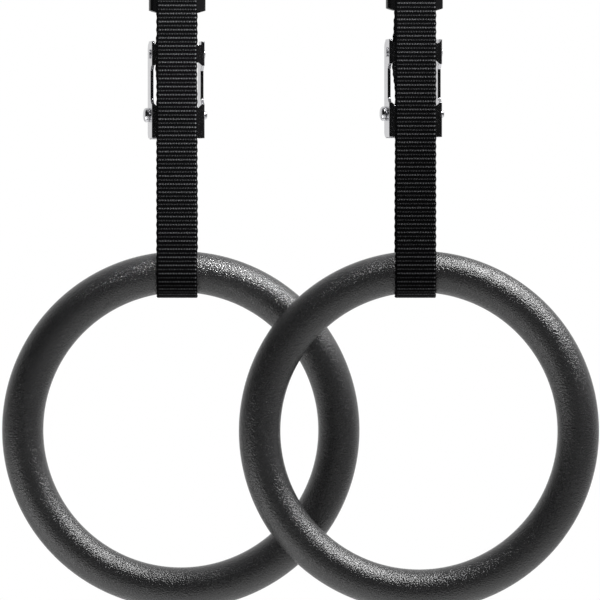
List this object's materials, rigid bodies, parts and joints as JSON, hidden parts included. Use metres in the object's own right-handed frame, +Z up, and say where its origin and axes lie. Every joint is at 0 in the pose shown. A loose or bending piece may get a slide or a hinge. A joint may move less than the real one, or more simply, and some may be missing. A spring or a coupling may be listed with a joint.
{
  "type": "gymnastics rings",
  "caption": "Pair of round hand rings, each hanging in a looped webbing strap with a steel cam buckle and a strap keeper, for training from an overhead bar.",
  "frame": {"origin": "middle of the overhead bar line that the two strap loops lie over", "axes": "+Z up along the straps, +X from the left ring to the right ring, -Y towards the person facing the rings"},
  "size_m": [0.3908, 0.0914, 0.5747],
  "materials": {
    "ring_plastic": "satin",
    "strap_webbing": "matte",
    "buckle_steel": "polished",
    "pin_steel": "polished",
    "cam_steel": "satin",
    "spring_steel": "satin",
    "keeper_plastic": "satin"
  },
  "bodies": {
    "bar_loops": {"left_bar_loop": "strap_webbing", "right_bar_loop": "strap_webbing"},
    "left_upper_strap": {"left_front_run_top": "strap_webbing", "left_back_run_top": "strap_webbing"},
    "left_strap": {"left_front_run": "strap_webbing", "left_back_run": "strap_webbing", "left_fixed_end": "strap_webbing", "left_buckle_frame": "buckle_steel", "left_buckle_crossbar": "pin_steel", "left_buckle_pivot_pin": "pin_steel", "left_cam_spring": "spring_steel", "left_strap_tail": "strap_webbing"},
    "left_lower_strap": {"left_front_leg": "strap_webbing", "left_back_leg": "strap_webbing", "left_ring_loop": "strap_webbing"},
    "left_ring": {"left_ring_front_shell": "ring_plastic", "left_ring_rear_shell": "ring_plastic"},
    "left_tail_end": {"left_tail_end": "strap_webbing"},
    "left_cam_lever": {"left_cam_lever": "cam_steel"},
    "left_keeper": {"left_strap_keeper": "keeper_plastic"},
    "right_upper_strap": {"right_front_run_top": "strap_webbing", "right_back_run_top": "strap_webbing"},
    "right_strap": {"right_front_run": "strap_webbing", "right_back_run": "strap_webbing", "right_fixed_end": "strap_webbing", "right_buckle_frame": "buckle_steel", "right_buckle_crossbar": "pin_steel", "right_buckle_pivot_pin": "pin_steel", "right_cam_spring": "spring_steel", "right_strap_tail": "strap_webbing"},
    "right_lower_strap": {"right_front_leg": "strap_webbing", "right_back_leg": "strap_webbing", "right_ring_loop": "strap_webbing"},
    "right_ring": {"right_ring_front_shell": "ring_plastic", "right_ring_rear_shell": "ring_plastic"},
    "right_tail_end": {"right_tail_end": "strap_webbing"},
    "right_cam_lever": {"right_cam_lever": "cam_steel"},
    "right_keeper": {"right_strap_keeper": "keeper_plastic"}
  },
  "joints": [
    {"name": "left_strap_swing", "type": "hinge", "parent": "bar_loops", "child": "left_upper_strap", "pos_m": [-0.08035, 0.0175, 0], "axis": [1, 0, 0], "range_deg": [0, 60]},
    {"name": "left_strap_turn", "type": "hinge", "parent": "left_upper_strap", "child": "left_strap", "pos_m": [-0.08035, 0.0175, -0.024], "axis": [0, 0, 1], "range_deg": [0, 90]},
    {"name": "left_height_adjust", "type": "slide", "parent": "left_strap", "child": "left_lower_strap", "axis": [0, 0, 1], "range_m": [0, 0.015], "deforming": ["left_front_leg", "left_back_leg", "left_strap_tail"]},
    {"name": "left_tail_pull", "type": "slide", "parent": "left_strap", "child": "left_tail_end", "axis": [0, 0, 1], "range_m": [0, 0.03]},
    {"name": "left_ring_tilt", "type": "hinge", "parent": "left_lower_strap", "child": "left_ring", "pos_m": [-0.08035, 0.0175, -0.3361], "axis": [1, 0, 0], "range_deg": [0, 70]},
    {"name": "left_cam_press", "type": "hinge", "parent": "left_strap", "child": "left_cam_lever", "pos_m": [-0.08207, 0.04263, -0.2325], "axis": [0.9816, 0.1908, 0], "range_deg": [-25, 0], "stiffness_Nm_per_rad": 0.05, "springref_deg": 17.19},
    {"name": "left_keeper_slide", "type": "slide", "parent": "left_strap", "child": "left_keeper", "axis": [0, 0, 1], "range_m": [-0.0015, 0.006]},
    {"name": "right_strap_swing", "type": "hinge", "parent": "bar_loops", "child": "right_upper_strap", "pos_m": [0.07555, -0.0175, 0], "axis": [1, 0, 0], "range_deg": [-60, 0]},
    {"name": "right_strap_turn", "type": "hinge", "parent": "right_upper_strap", "child": "right_strap", "pos_m": [0.07555, -0.0175, -0.024], "axis": [0, 0, 1], "range_deg": [0, 90]},
    {"name": "right_height_adjust", "type": "slide", "parent": "right_strap", "child": "right_lower_strap", "axis": [0, 0, 1], "range_m": [0, 0.015], "deforming": ["right_front_leg", "right_back_leg", "right_strap_tail"]},
    {"name": "right_tail_pull", "type": "slide", "parent": "right_strap", "child": "right_tail_end", "axis": [0, 0, 1], "range_m": [0, 0.03]},
    {"name": "right_ring_tilt", "type": "hinge", "parent": "right_lower_strap", "child": "right_ring", "pos_m": [0.07555, -0.0175, -0.3361], "axis": [1, 0, 0], "range_deg": [-70, 0]},
    {"name": "right_cam_press", "type": "hinge", "parent": "right_strap", "child": "right_cam_lever", "pos_m": [0.07383, 0.00764, -0.2325], "axis": [0.9816, 0.1908, 0], "range_deg": [-25, 0], "stiffness_Nm_per_rad": 0.05, "springref_deg": 17.19},
    {"name": "right_keeper_slide", "type": "slide", "parent": "right_strap", "child": "right_keeper", "axis": [0, 0, 1], "range_m": [-0.0015, 0.006]}
  ],
  "couplings": [
    {"joint": "left_tail_pull", "follows": "left_height_adjust", "ratio": 2},
    {"joint": "right_tail_pull", "follows": "right_height_adjust", "ratio": 2}
  ]
}
